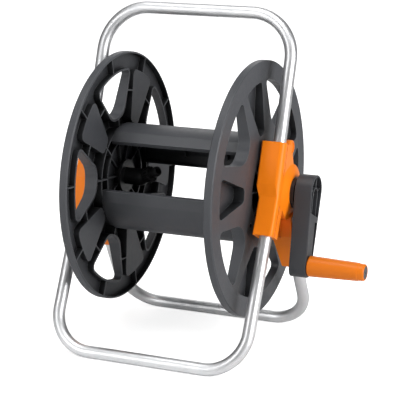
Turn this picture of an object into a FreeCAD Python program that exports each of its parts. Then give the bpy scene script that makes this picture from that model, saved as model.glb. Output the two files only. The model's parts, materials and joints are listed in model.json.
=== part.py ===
"""Portable garden hose reel: an open drum with two moulded flanges, carried by a tube stand.

The model is worked out about the middle of the drum: +X along the drum axis towards the crank,
+Y to the back, +Z up, in millimetres. Each piece is then moved so that the origin lies on the
ground under the middle of the whole reel.
"""
import FreeCAD
import Part
import math
import os

V = FreeCAD.Vector
X_AXIS = V(1, 0, 0)

# ---------------------------------------------------------------- driving dimensions
FLANGE_RADIUS = 185.0            # outside of each flange
HOSE_WIDTH = 205.5               # between the inner planes of the flanges
RIM_WIDTH = 12.2                 # flange thickness at its rim
DISH = 7.5                       # how far the outer face swells towards the hub
WALL = 2.8                       # moulded wall of the flanges
GUSSET = 2.0                     # thin stiffening ribs

FACE_RING_RADIUS = 0.86 * FLANGE_RADIUS      # the flat outer ring starts here
DISH_RADIUS = 0.45 * FLANGE_RADIUS           # the outer face is flat again inside this
HUB_RING_RADIUS = 55.5           # ring wall round the middle of a flange
SEAT_RING_RADIUS = 76.0          # ring wall that backs the ends of the drum shells
STIFFENER_RADIUS = 0.69 * FLANGE_RADIUS
HUB_BORE_RADIUS = 16.0
HUB_DISC = 3.0                   # web of the hub, with a recess on both sides
HUB_DEPTH = 9.0                  # depth of the recess on the drum's side
HUB_RIB_DROP = 3.5               # the hub's ribs stop this far below the inner plane
SHAFT_PLATE = 25.0               # radius of the plates that are fixed to the flanges' hubs
HUB_COLLAR = 3.2

WINDOWS = 5
PITCH = 360.0 / WINDOWS
WINDOW_PHASE = 65.5              # right flange, degrees from +Y towards +Z
WINDOW_OUTER = 0.853 * FLANGE_RADIUS
WINDOW_INNER = 0.515 * FLANGE_RADIUS
WINDOW_OUTER_ANGLE = 19.5        # half angles
WINDOW_INNER_ANGLE = 10.5
WINDOW_CORNER = 7.0
WINDOW_INNER_CORNER = 26.0
POCKET_OUTER = 0.845 * FLANGE_RADIUS
POCKET_INNER = 0.46 * FLANGE_RADIUS
POCKET_OUTER_ANGLE = 10.8
POCKET_INNER_ANGLE = 6.5
POCKET_CORNER = 6.0
POCKET_INNER_CORNER = 8.0
FLANGE_TURNOVER = 155.75         # the right flange is the left one turned over about this line

SHELL_RADIUS = 79.5
SHELL_WALL = 3.0
SHELL_SPAN = 121.0
SHELL_CENTRE = 65.75
SHELL_FACET = 12.0               # degrees of flat facet along each long edge
SHELL_FACET_DROP = 4.0           # how far the facet's free edge lies inside the round
SHELL_LIP = 7.0
BOSS_RADIUS = 5.5
BOSS_CIRCLE = 71.5
BOSS_ANGLE = 32.0
BOSS_LENGTH = 26.0
PILOT_RADIUS = 1.6

TUBE_RADIUS = 9.0
TUBE_WALL = 1.5
FIT = 0.1                        # radial clearance of pieces that are pushed together
RUN = 0.06                       # radial clearance where pieces turn on each other
LEG_X = 148.0
REAR_LEG_X = 153.6
KNEE_Y = -41.4                   # the two front tubes aim at this point, level with the axis
HANDLE_Y = 45.1
HANDLE_Z = 247.0
FRONT_FOOT_Y = -153.0
REAR_FOOT_Y = 106.7
FOOT_Z = -226.4
REAR_LEAN = 28.25                # degrees off upright
HANDLE_BEND = 66.0
FOOT_BEND = 58.0
TUBE_END_GAP = 6.0               # each front tube stops this far from the knee
TUBE_SCREW_TIP = 147.5           # the screws end inside the tubes
REAR_TUBE_TOP = -29.0

BRACKET_OUT = 160.5              # outer side face, from the middle of the drum
BRACKET_IN = 127.0
HANDLE_SLEEVE_IN = 125.5
FRONT_SLEEVE_IN = 131.0
REAR_SLEEVE_IN = 135.0
REAR_SLEEVE_OUT = 166.2
WEB_IN = 135.0                   # drum side of the webs
HANDLE_CORE = 135.0              # floors of the square pockets behind the front tubes
FRONT_CORE = 136.0
SLEEVE_FRONT = 13.0              # tube axis to the front face
SLEEVE_BACK = 15.0
HANDLE_SLEEVE = 77.5             # sleeve lengths from the knee
FRONT_SLEEVE = 57.0
REAR_SLEEVE_FOOT = -117.0
SLEEVE_EDGE = 8.0                # rounded long edge between the front and the outer side
KNEE_BLEND = 17.0                # the upper sleeve starts to narrow this far above the knee
KNEE_STEP = 2.0                  # the lower sleeve's front lies this far behind the upper one's
HUB_DISC_RADIUS = 40.0
HUB_FACE = 166.0                 # the hub swells out to this plane
HUB_FACE_RADIUS = 23.5
BEARING_BORE = 12.0
EAR_BACK = 19.5                  # rounded ear behind the tube, near the sleeve's end
EAR_DROP = 2.5
EAR_RADIUS = 10.5
EAR_RIM = 2.6
COLLAR_RADIUS = 22.0             # bearing collar between bracket and crank
COLLAR_WIDTH = 5.5
SHAFT_RADIUS = 9.0

CRANK_IN = 173.8
CRANK_THICKNESS = 25.0
CRANK_TILT = 15.5
CRANK_RADIUS = 101.5             # drum axis to grip axis
CRANK_TOP_RADIUS = 22.8
CRANK_TOP_RISE = 4.7
CRANK_END_RADIUS = 13.6
CRANK_END = 105.0
CRANK_WALL = 2.6
CRANK_SEAT = 10.0                # the washer's seat, below the outer face
CRANK_HEX = 15.0
RECESS_FOOT = -30.0              # lower end of the open recess over the shaft
RECESS_SLANT = 6.5
CHANNEL_DEPTH = 5.0              # groove along the back edge of the arm
CHANNEL_RIM = 1.8

GRIP_GAP = 0.6
GRIP_LENGTH = 83.0
GRIP_BASE_RADIUS = 14.9
GRIP_TIP_RADIUS = 12.5
GRIP_PIN_RADIUS = 4.0

SPINDLE_RADIUS = 10.0
SPINDLE_BORE = 5.5
INLET_REACH = 34.0               # inlet beyond the left bracket
SWIVEL_RADIUS = 12.6
OUTLET_BORE = 5.0
NIPPLE_RADIUS = 7.6
NIPPLE_GROOVE = 6.9
NIPPLE_END = 32.0                # from the outlet's start, along its slanted line
OUTLET_LIFT = 25.0               # degrees above the axis
OUTLET_SIDE = 14.0               # degrees towards the front gap

# ---------------------------------------------------------------- worked out from them
INNER_PLANE = HOSE_WIDTH / 2.0
RIM_PLANE = INNER_PLANE + RIM_WIDTH
DISH_PLANE = RIM_PLANE + DISH
CRANK_OUT = CRANK_IN + CRANK_THICKNESS
GRIP_START = CRANK_OUT + GRIP_GAP
GRIP_END = GRIP_START + GRIP_LENGTH
INLET_END = BRACKET_OUT + INLET_REACH
AXIS_HEIGHT = TUBE_RADIUS - FOOT_Z
X_SHIFT = (INLET_END - GRIP_END) / 2.0
SWIVEL_END = -INNER_PLANE + 22.0             # inner end of the fixed spindle
OUTLET_START = V(-INNER_PLANE + 30.0, 0, 0)


# ---------------------------------------------------------------- shape helpers
def rod(radius, start, end, y=0.0, z=0.0):
    """Round bar along X from start to end."""
    return Part.makeCylinder(radius, end - start, V(start, y, z), X_AXIS)


def ring(outer, inner, start, end, y=0.0, z=0.0):
    """Round tube along X."""
    return rod(outer, start, end, y, z).cut(rod(inner, start - 1, end + 1, y, z))


def hexagon(across, start, end, y=0.0, z=0.0):
    """Six-sided bar along X, measured across its flats."""
    radius = across / math.sqrt(3.0)
    corners = [polar(radius, 60.0 * k, start) + V(0, y, z) for k in range(7)]
    return Part.Face(Part.makePolygon(corners)).extrude(V(end - start, 0, 0))


def polar(radius, angle, x=0.0):
    """Point at an angle in degrees from +Y towards +Z."""
    turn = math.radians(angle)
    return V(x, radius * math.cos(turn), radius * math.sin(turn))


def lathe(profile):
    """Solid of revolution about the X axis of a closed outline of (x, radius) points."""
    corners = [V(x, radius, 0) for x, radius in profile]
    corners.append(corners[0])
    face = Part.Face(Part.makePolygon(corners))
    return face.revolve(V(0, 0, 0), X_AXIS, 360)


def slab(outline, start, end):
    """Prism along X of a closed outline of (y, z) points."""
    corners = [V(start, y, z) for y, z in outline]
    corners.append(corners[0])
    return Part.Face(Part.makePolygon(corners)).extrude(V(end - start, 0, 0))


def edges_along(shape, direction):
    """Straight edges of a shape that run along a direction."""
    found = []
    for edge in shape.Edges:
        if edge.Curve.TypeId == "Part::GeomLine":
            along = (edge.Vertexes[-1].Point - edge.Vertexes[0].Point).normalize()
            if abs(along.dot(direction)) > 0.999:
                found.append(edge)
    return found


def union(shapes):
    """Fuse a list into one tidy shape."""
    whole = shapes[0]
    if len(shapes) > 1:
        whole = shapes[0].multiFuse(shapes[1:])
    return whole.removeSplitter()


def turned(shape, angle):
    """Turn about the drum axis."""
    copy = shape.copy()
    copy.rotate(V(0, 0, 0), X_AXIS, angle)
    return copy


def mirrored(shape):
    """The same piece for the other side of the drum."""
    return shape.mirror(V(0, 0, 0), X_AXIS)


# ---------------------------------------------------------------- flanges
def wedge(outer, inner, outer_angle, inner_angle, corner, inner_corner, centre, grow, start, end):
    """Window or pocket prism: an arc outside, straight sides, all corners rounded."""
    outer_half = outer_angle + math.degrees(grow / outer)
    inner_half = inner_angle + math.degrees(grow / inner)
    outer_radius = outer + grow
    inner_radius = inner - grow
    left = polar(outer_radius, centre - outer_half, start)
    right = polar(outer_radius, centre + outer_half, start)
    low_left = polar(inner_radius, centre - inner_half, start)
    low_right = polar(inner_radius, centre + inner_half, start)
    outline = [
        Part.Arc(left, polar(outer_radius, centre, start), right).toShape(),
        Part.LineSegment(right, low_right).toShape(),
        Part.LineSegment(low_right, low_left).toShape(),
        Part.LineSegment(low_left, left).toShape(),
    ]
    prism = Part.Face(Part.Wire(outline)).extrude(V(end - start, 0, 0))
    uprights = edges_along(prism, X_AXIS)
    far = [e for e in uprights if math.hypot(e.Vertexes[0].Y, e.Vertexes[0].Z) > STIFFENER_RADIUS]
    prism = prism.makeFillet(corner + grow, far)
    near = [e for e in edges_along(prism, X_AXIS)
            if math.hypot(e.Vertexes[0].Y, e.Vertexes[0].Z) < inner_radius * 1.03]
    return prism.makeFillet(inner_corner, near)


def window(centre, grow, start, end):
    return wedge(WINDOW_OUTER, WINDOW_INNER, WINDOW_OUTER_ANGLE, WINDOW_INNER_ANGLE,
                 WINDOW_CORNER, WINDOW_INNER_CORNER, centre, grow, start, end)


def pocket(centre, grow, start, end):
    return wedge(POCKET_OUTER, POCKET_INNER, POCKET_OUTER_ANGLE, POCKET_INNER_ANGLE,
                 POCKET_CORNER, POCKET_INNER_CORNER, centre, grow, start, end)


def radial_plate(angle, inner, outer, start, end):
    """Thin rib along a radius."""
    plate = Part.makeBox(end - start, outer - inner, GUSSET, V(start, inner, -GUSSET / 2.0))
    return turned(plate, angle)


def flange():
    """The moulding on its inner plane at +INNER_PLANE; ribs open towards the hose."""
    open_end = INNER_PLANE - 1.0
    beyond = DISH_PLANE + 1.0
    edge = 1.4
    body = lathe([
        (INNER_PLANE, HUB_BORE_RADIUS),
        (INNER_PLANE, FLANGE_RADIUS - edge),
        (INNER_PLANE + edge, FLANGE_RADIUS),
        (RIM_PLANE - edge, FLANGE_RADIUS),
        (RIM_PLANE, FLANGE_RADIUS - edge),
        (RIM_PLANE, FACE_RING_RADIUS),
        (DISH_PLANE, DISH_RADIUS),
        (DISH_PLANE, HUB_BORE_RADIUS),
    ])
    window_centres = [WINDOW_PHASE + PITCH * k for k in range(WINDOWS)]
    pocket_centres = [centre + PITCH / 2.0 for centre in window_centres]

    hollow = lathe([
        (open_end, HUB_RING_RADIUS + WALL),
        (open_end, FLANGE_RADIUS - WALL),
        (RIM_PLANE - WALL, FLANGE_RADIUS - WALL),
        (RIM_PLANE - WALL, FACE_RING_RADIUS),
        (DISH_PLANE - WALL, DISH_RADIUS),
        (DISH_PLANE - WALL, HUB_RING_RADIUS + WALL),
    ])
    kept = [window(centre, WALL, open_end - 1, beyond) for centre in window_centres]
    kept += [pocket(centre, WALL, open_end - 1, beyond) for centre in pocket_centres]
    kept.append(ring(SEAT_RING_RADIUS + GUSSET / 2.0, SEAT_RING_RADIUS - GUSSET / 2.0, open_end - 1, beyond))
    kept.append(ring(STIFFENER_RADIUS + GUSSET / 2.0, STIFFENER_RADIUS - GUSSET / 2.0, open_end - 1, beyond))
    for centre in window_centres + pocket_centres:
        kept.append(radial_plate(centre, HUB_RING_RADIUS, WINDOW_INNER, open_end - 1, beyond))
        kept.append(radial_plate(centre, WINDOW_OUTER, FLANGE_RADIUS, open_end - 1, beyond))
    for angle in drum_screw_angles():
        kept.append(rod(BOSS_RADIUS - 0.5, open_end - 1, beyond, polar(BOSS_CIRCLE, angle).y,
                        polar(BOSS_CIRCLE, angle).z))
    hollow = hollow.cut(Part.makeCompound(kept))

    hub_floor = INNER_PLANE + HUB_DEPTH
    collar = HUB_BORE_RADIUS + HUB_COLLAR
    hub_hollow = Part.makeCompound([ring(HUB_RING_RADIUS, collar, open_end, hub_floor),
                                    ring(HUB_RING_RADIUS, collar, hub_floor + HUB_DISC, beyond)])
    hub_ribs = [radial_plate(centre, HUB_BORE_RADIUS, HUB_RING_RADIUS + 1,
                             INNER_PLANE + HUB_RIB_DROP, beyond)
                for centre in window_centres + pocket_centres]
    hub_hollow = hub_hollow.cut(Part.makeCompound(hub_ribs))

    cuts = [hollow, hub_hollow]
    cuts += [window(centre, 0.0, open_end, beyond) for centre in window_centres]
    cuts += [pocket(centre, 0.0, INNER_PLANE + WALL, beyond) for centre in pocket_centres]
    for angle in drum_screw_angles():
        spot = polar(BOSS_CIRCLE, angle)
        cuts.append(rod(PILOT_RADIUS + 0.5, open_end, beyond, spot.y, spot.z))
        cuts.append(rod(3.9, INNER_PLANE + 6.0, beyond, spot.y, spot.z))
    for part in cuts:
        body = body.cut(part)
    return body


def drum_screw_angles():
    """Where the flange is screwed to the ends of the two shells, right flange."""
    angles = []
    for centre in (SHELL_CENTRE, SHELL_CENTRE + 180.0):
        angles += [centre - BOSS_ANGLE, centre + BOSS_ANGLE]
    return angles


# ---------------------------------------------------------------- drum shells and their screws
def shell():
    """Half shell of the drum, centred on +Y: a round panel, two flat facets, lips, ribs, bosses."""
    half = SHELL_SPAN / 2.0
    round_half = half - SHELL_FACET
    inner = SHELL_RADIUS - SHELL_WALL
    edge_radius = SHELL_RADIUS - SHELL_FACET_DROP
    start = -INNER_PLANE
    outline = [
        Part.Arc(polar(SHELL_RADIUS, -round_half, start), polar(SHELL_RADIUS, 0, start),
                 polar(SHELL_RADIUS, round_half, start)).toShape(),
        Part.LineSegment(polar(SHELL_RADIUS, round_half, start), polar(edge_radius, half, start)).toShape(),
        Part.LineSegment(polar(edge_radius, half, start),
                         polar(edge_radius - SHELL_LIP, half, start)).toShape(),
        Part.LineSegment(polar(edge_radius - SHELL_LIP, half, start),
                         polar(edge_radius - SHELL_LIP, half - 2.2, start)).toShape(),
        Part.LineSegment(polar(edge_radius - SHELL_LIP, half - 2.2, start),
                         polar(edge_radius - SHELL_WALL, half - 2.2, start)).toShape(),
        Part.LineSegment(polar(edge_radius - SHELL_WALL, half - 2.2, start),
                         polar(inner, round_half, start)).toShape(),
        Part.Arc(polar(inner, round_half, start), polar(inner, 0, start),
                 polar(inner, -round_half, start)).toShape(),
        Part.LineSegment(polar(inner, -round_half, start),
                         polar(edge_radius - SHELL_WALL, 2.2 - half, start)).toShape(),
        Part.LineSegment(polar(edge_radius - SHELL_WALL, 2.2 - half, start),
                         polar(edge_radius - SHELL_LIP, 2.2 - half, start)).toShape(),
        Part.LineSegment(polar(edge_radius - SHELL_LIP, 2.2 - half, start),
                         polar(edge_radius - SHELL_LIP, -half, start)).toShape(),
        Part.LineSegment(polar(edge_radius - SHELL_LIP, -half, start),
                         polar(edge_radius, -half, start)).toShape(),
        Part.LineSegment(polar(edge_radius, -half, start),
                         polar(SHELL_RADIUS, -round_half, start)).toShape(),
    ]
    panel = Part.Face(Part.Wire(outline)).extrude(V(HOSE_WIDTH, 0, 0))
    added = []
    for place in (-HOSE_WIDTH / 6.0, HOSE_WIDTH / 6.0):
        hoop = ring(SHELL_RADIUS - 1.0, inner - 5.0, place - 1.2, place + 1.2)
        sector = slab([(0, 0)] + [(polar(99, a).y, polar(99, a).z) for a in (-round_half, 0, round_half)],
                      place - 2, place + 2)
        added.append(hoop.common(sector))
    for angle in (-BOSS_ANGLE, BOSS_ANGLE):
        spot = polar(BOSS_CIRCLE, angle)
        added.append(rod(BOSS_RADIUS, -INNER_PLANE, BOSS_LENGTH - INNER_PLANE, spot.y, spot.z))
        added.append(rod(BOSS_RADIUS, INNER_PLANE - BOSS_LENGTH, INNER_PLANE, spot.y, spot.z))
    whole = union([panel] + added)
    for angle in (-BOSS_ANGLE, BOSS_ANGLE):
        spot = polar(BOSS_CIRCLE, angle)
        whole = whole.cut(rod(PILOT_RADIUS, -INNER_PLANE - 1, BOSS_LENGTH - INNER_PLANE - 3, spot.y, spot.z))
        whole = whole.cut(rod(PILOT_RADIUS, INNER_PLANE - BOSS_LENGTH + 3, INNER_PLANE + 1, spot.y, spot.z))
    return whole


def pan_screw(head_face, length, y, z, head_radius=3.5, shank_radius=PILOT_RADIUS - 0.03, head=2.6):
    """Cross-recessed screw along X, head towards +X, its seat at head_face."""
    screw = rod(shank_radius, head_face - length, head_face, y, z)
    cap = rod(head_radius, head_face, head_face + head, y, z)
    rim = [e for e in cap.Edges if abs(e.BoundBox.XMin - head_face - head) < 1e-6
           and e.Curve.TypeId == "Part::GeomCircle"]
    screw = screw.fuse(cap.makeFillet(head * 0.45, rim))
    slot = head_radius * 1.1
    for turn in (45, 135):
        bar = Part.makeBox(head, slot, 0.9, V(head_face + head * 0.45, -slot / 2.0, -0.45))
        bar.rotate(V(0, 0, 0), X_AXIS, turn)
        bar.translate(V(0, y, z))
        screw = screw.cut(bar)
    return screw.removeSplitter()


def drum_screws():
    """Eight screws, four through each flange."""
    screws = []
    for angle in drum_screw_angles():
        spot = polar(BOSS_CIRCLE, angle)
        screws.append(pan_screw(INNER_PLANE + 6.0, 25.0, spot.y, spot.z))
    return screws + [mirrored(screw) for screw in screws]


# ---------------------------------------------------------------- tube stand
def u_tube(end_s, far_s, half_width, bend, origin, lean):
    """Hollow tube bent into a U: legs from end_s to far_s along a leaning line, joined by a bar."""
    def at(x, s):
        return V(x, origin[0] + lean[0] * s, origin[1] + lean[1] * s)

    middle = bend * (1.0 - math.sqrt(0.5))
    right = half_width
    path = Part.Wire([
        Part.LineSegment(at(right, end_s), at(right, far_s - bend)).toShape(),
        Part.Arc(at(right, far_s - bend), at(right - middle, far_s - middle),
                 at(right - bend, far_s)).toShape(),
        Part.LineSegment(at(right - bend, far_s), at(bend - right, far_s)).toShape(),
        Part.Arc(at(bend - right, far_s), at(middle - right, far_s - middle),
                 at(-right, far_s - bend)).toShape(),
        Part.LineSegment(at(-right, far_s - bend), at(-right, end_s)).toShape(),
    ])
    along = V(0, lean[0], lean[1])

    def sweep(radius):
        section = Part.Wire([Part.makeCircle(radius, at(right, end_s), along)])
        return path.makePipeShell([section], True, False)

    return sweep(TUBE_RADIUS).cut(sweep(TUBE_RADIUS - TUBE_WALL))


def direction(from_point, to_point):
    """Unit direction and length between two (y, z) points."""
    dy = to_point[0] - from_point[0]
    dz = to_point[1] - from_point[1]
    length = math.hypot(dy, dz)
    return (dy / length, dz / length), length


KNEE = (KNEE_Y, 0.0)
HANDLE_DIR, HANDLE_LENGTH = direction(KNEE, (HANDLE_Y, HANDLE_Z))
FRONT_DIR, FRONT_LENGTH = direction(KNEE, (FRONT_FOOT_Y, FOOT_Z))
REAR_TOP = (REAR_FOOT_Y + (FOOT_Z - REAR_TUBE_TOP) * math.tan(math.radians(REAR_LEAN)), REAR_TUBE_TOP)
REAR_DIR, REAR_LENGTH = direction(REAR_TOP, (REAR_FOOT_Y, FOOT_Z))


# ---------------------------------------------------------------- side brackets
def beside(origin, along, s, n):
    """(y, z) of a point s along a tube line and n behind it."""
    behind = (along[1], -along[0]) if along[1] > 0 else (-along[1], along[0])
    return (origin[0] + along[0] * s + behind[0] * n, origin[1] + along[1] * s + behind[1] * n)


def sleeve(origin, along, from_s, to_s, front, back, start, end, front_edge):
    """Block round a tube, its long edges rounded."""
    block = slab([beside(origin, along, from_s, -front), beside(origin, along, to_s, -front),
                  beside(origin, along, to_s, back), beside(origin, along, from_s, back)], start, end)
    line = V(0, along[0], along[1])
    for x, offset, radius in ((end, -front, front_edge), (end, back, 2.0), (start, -front, 3.0)):
        spot = beside(origin, along, (from_s + to_s) / 2.0, offset)
        outer = [e for e in edges_along(block, line)
                 if e.CenterOfMass.distanceToPoint(V(x, spot[0], spot[1])) < 2.0]
        block = block.makeFillet(radius, outer)
    return block


def knee_slopes():
    """Cuts that lead the upper sleeve into the narrower lower one, at its inner side and its front."""
    foot = -5.0
    narrowing = (FRONT_SLEEVE_IN - HANDLE_SLEEVE_IN) * (KNEE_BLEND - foot) / KNEE_BLEND
    corners = []
    for x, s in ((HANDLE_SLEEVE_IN, KNEE_BLEND), (HANDLE_SLEEVE_IN + narrowing, foot),
                 (HANDLE_SLEEVE_IN - 1.0, foot), (HANDLE_SLEEVE_IN - 1.0, KNEE_BLEND)):
        y, z = beside(KNEE, HANDLE_DIR, s, -2.0 * SLEEVE_FRONT)
        corners.append(V(x, y, z))
    corners.append(corners[0])
    across = V(0, HANDLE_DIR[1], -HANDLE_DIR[0])
    side = Part.Face(Part.makePolygon(corners)).extrude(across * (4.0 * SLEEVE_FRONT))
    drop = KNEE_STEP * (KNEE_BLEND - foot) / KNEE_BLEND
    front = slab([beside(KNEE, HANDLE_DIR, KNEE_BLEND, -SLEEVE_FRONT),
                  beside(KNEE, HANDLE_DIR, foot, drop - SLEEVE_FRONT),
                  beside(KNEE, HANDLE_DIR, foot, -SLEEVE_FRONT - 1.0),
                  beside(KNEE, HANDLE_DIR, KNEE_BLEND, -SLEEVE_FRONT - 1.0)],
                 BRACKET_IN - 10.0, BRACKET_OUT + 1.0)
    return side.fuse(front)


def tube_bore(origin, along, from_s, to_s, x):
    """Blind hole for a tube end."""
    foot = V(x, origin[0] + along[0] * from_s, origin[1] + along[1] * from_s)
    return Part.makeCylinder(TUBE_RADIUS + FIT, to_s - from_s, foot, V(0, along[0], along[1]))


def bracket():
    """Right side bracket: three tube sleeves and the bearing boss, joined by webs."""
    rear_s = (REAR_TOP[1] - REAR_SLEEVE_FOOT) / -REAR_DIR[1]
    handle_sleeve = sleeve(KNEE, HANDLE_DIR, -4.0, HANDLE_SLEEVE, SLEEVE_FRONT, SLEEVE_BACK,
                           HANDLE_SLEEVE_IN, BRACKET_OUT, SLEEVE_EDGE)
    handle_sleeve = handle_sleeve.cut(knee_slopes())
    front_sleeve = sleeve(KNEE, FRONT_DIR, -6.0, FRONT_SLEEVE, SLEEVE_FRONT - KNEE_STEP, SLEEVE_BACK,
                          FRONT_SLEEVE_IN, BRACKET_OUT, SLEEVE_EDGE - 3.5)
    rear_sleeve = slab([beside(REAR_TOP, REAR_DIR, -2.0, -15.0), beside(REAR_TOP, REAR_DIR, 28.0, -24.0),
                        beside(REAR_TOP, REAR_DIR, rear_s, -12.0), beside(REAR_TOP, REAR_DIR, rear_s, 13.0),
                        beside(REAR_TOP, REAR_DIR, -2.0, 15.0)], REAR_SLEEVE_IN, REAR_SLEEVE_OUT)
    rear_sleeve = rear_sleeve.makeFillet(2.0, [e for e in rear_sleeve.Edges
                                               if e.BoundBox.XMin > REAR_SLEEVE_OUT - 0.01])
    hub = lathe([(BRACKET_OUT - 12.0, 0), (BRACKET_OUT - 12.0, HUB_DISC_RADIUS),
                 (BRACKET_OUT, HUB_DISC_RADIUS), (HUB_FACE, HUB_FACE_RADIUS), (HUB_FACE, 0)])
    boss = rod(BEARING_BORE + 8.0, BRACKET_IN, BRACKET_OUT)
    ear_y, ear_z = beside(KNEE, HANDLE_DIR, HANDLE_SLEEVE - EAR_DROP, EAR_BACK)
    ear = rod(EAR_RADIUS, WEB_IN, BRACKET_OUT, ear_y, ear_z)
    ear = ear.makeFillet(1.5, [e for e in ear.Edges if e.BoundBox.XMin > BRACKET_OUT - 0.01
                               and e.Curve.TypeId == "Part::GeomCircle"])
    upper_web = slab([beside(KNEE, HANDLE_DIR, 0.0, 0.0),
                      beside(KNEE, HANDLE_DIR, HANDLE_SLEEVE, 0.0),
                      beside(KNEE, HANDLE_DIR, HANDLE_SLEEVE, EAR_BACK),
                      beside(KNEE, HANDLE_DIR, 66.0, 25.5),
                      beside(KNEE, HANDLE_DIR, 54.0, 34.0),
                      (polar(HUB_DISC_RADIUS, 55.0).y, polar(HUB_DISC_RADIUS, 55.0).z),
                      (30.0, 0.0)], WEB_IN, BRACKET_OUT)
    lower_web = slab([beside(KNEE, FRONT_DIR, 0.0, 0.0),
                      beside(KNEE, FRONT_DIR, FRONT_SLEEVE - 2.0, 5.0),
                      beside(REAR_TOP, REAR_DIR, 40.0, -15.0),
                      beside(REAR_TOP, REAR_DIR, 30.0, 0.0),
                      (10.0, 0.0)], WEB_IN, BRACKET_OUT - 12.0)
    body = union([handle_sleeve, front_sleeve, rear_sleeve, hub, boss, ear, upper_web, lower_web])

    cuts = [
        tube_bore(KNEE, HANDLE_DIR, TUBE_END_GAP - 0.5, HANDLE_SLEEVE + 5.0, LEG_X),
        tube_bore(KNEE, FRONT_DIR, TUBE_END_GAP - 0.5, FRONT_SLEEVE + 5.0, LEG_X),
        tube_bore(REAR_TOP, REAR_DIR, -0.5, rear_s + 5.0, REAR_LEG_X),
        rod(BEARING_BORE + FIT, BRACKET_IN - 1.0, HUB_FACE + 1.0),
        rod(EAR_RADIUS - EAR_RIM, BRACKET_OUT - 1.2, BRACKET_OUT + 1.0, ear_y, ear_z),
        mouth(HANDLE_DIR, HANDLE_SLEEVE),
        slit(HANDLE_DIR, 32.0, HANDLE_SLEEVE + 1.0),
        slit(FRONT_DIR, 12.0, FRONT_SLEEVE + 1.0),
    ]
    cuts += [rod(PILOT_RADIUS + 0.05, REAR_SLEEVE_IN - 1.0, LEG_X, y, z) for y, z, face in tube_screw_spots()]
    cuts += coring(KNEE, HANDLE_DIR, 4.0, HANDLE_SLEEVE - 3.0, HANDLE_SLEEVE_IN, HANDLE_CORE)
    cuts += coring(KNEE, FRONT_DIR, 20.0, FRONT_SLEEVE - 3.0, FRONT_SLEEVE_IN, FRONT_CORE)
    for cut in cuts:
        body = body.cut(cut)
    return body


def mouth(along, s):
    """Flared mouth of a sleeve, so that its rim dips in front of the tube."""
    foot = V(LEG_X, KNEE[0] + along[0] * (s - 4.0), KNEE[1] + along[1] * (s - 4.0))
    return Part.makeCone(TUBE_RADIUS + FIT, TUBE_RADIUS + 5.0, 5.0, foot, V(0, along[0], along[1]))


def slit(along, from_s, to_s):
    """Narrow groove along a sleeve, in its outer wall."""
    width = 2.2
    return slab([beside(KNEE, along, from_s, -width / 2.0), beside(KNEE, along, to_s, -width / 2.0),
                 beside(KNEE, along, to_s, width / 2.0), beside(KNEE, along, from_s, width / 2.0)],
                BRACKET_OUT - 2.2, BRACKET_OUT + 1.0)


def coring(origin, along, from_s, to_s, start, end):
    """Row of square pockets that keep the moulding's wall even, open towards the flange."""
    count = 3
    pitch = (to_s - from_s) / count
    rows = []
    for k in range(count):
        low = from_s + k * pitch
        high = low + pitch - 3.0
        rows.append(slab([beside(origin, along, low, -8.5), beside(origin, along, high, -8.5),
                          beside(origin, along, high, 9.5), beside(origin, along, low, 9.5)],
                         start - 1.0, end))
    return rows


def tube_screw_spots():
    """(y, z, seat) of the screws that pin the three tubes of one side, driven from the drum's side."""
    spots = []
    for origin, along, s, seat in ((KNEE, HANDLE_DIR, 39.0, HANDLE_CORE), (KNEE, FRONT_DIR, 35.5, FRONT_CORE),
                                   (REAR_TOP, REAR_DIR, 58.0, REAR_SLEEVE_IN)):
        y, z = beside(origin, along, s, 0.0)
        spots.append((y, z, seat))
    return spots


def tube_screws():
    """Three self-tapping screws a side, heads towards the drum."""
    screws = []
    for y, z, seat in tube_screw_spots():
        length = TUBE_SCREW_TIP - seat
        screws.append(pan_screw(-seat, length, y, z, head_radius=2.6, head=1.6))
    return screws + [mirrored(screw) for screw in screws]


def tubes():
    """The three U tubes, drilled for their screws."""
    handle = u_tube(TUBE_END_GAP, HANDLE_LENGTH, LEG_X, HANDLE_BEND, KNEE, HANDLE_DIR)
    front = u_tube(TUBE_END_GAP, FRONT_LENGTH, LEG_X, FOOT_BEND, KNEE, FRONT_DIR)
    rear = u_tube(0.0, REAR_LENGTH, REAR_LEG_X, FOOT_BEND, REAR_TOP, REAR_DIR)
    holes = []
    for y, z, seat in tube_screw_spots():
        hole = rod(PILOT_RADIUS, seat, TUBE_SCREW_TIP, y, z)
        holes += [hole, mirrored(hole)]
    return [tube.cut(Part.makeCompound(holes)) for tube in (handle, front, rear)]


# ---------------------------------------------------------------- bearings, shaft, crank, grip
def bush(inner):
    """Plain bearing with a collar outside the bracket."""
    end = HUB_FACE + COLLAR_WIDTH
    barrel = rod(BEARING_BORE, BRACKET_IN, HUB_FACE + 1.0)
    collar = rod(COLLAR_RADIUS, HUB_FACE, end)
    return barrel.fuse(collar).cut(rod(inner, BRACKET_IN - 1.0, end + 1.0)).removeSplitter()


def crank_shaft():
    """Stub shaft: flange plate in the drum, plug in the flange bore, journal, squared end."""
    plate = rod(SHAFT_PLATE, INNER_PLANE - 4.0, INNER_PLANE)
    plug = rod(HUB_BORE_RADIUS - FIT, INNER_PLANE - 1.0, DISH_PLANE)
    journal = rod(SHAFT_RADIUS, DISH_PLANE - 1.0, CRANK_IN)
    squared = crank_frame(hexagon(CRANK_HEX, CRANK_IN - 1.0, CRANK_IN + 12.0))
    stub = union([plate, plug, journal, squared])
    return stub.cut(rod(2.0, CRANK_IN - 8.0, CRANK_IN + 13.0))


def crank_frame(shape):
    """Swing a crank piece, drawn hanging straight down, to its resting tilt."""
    return turned(shape, -CRANK_TILT)


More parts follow.
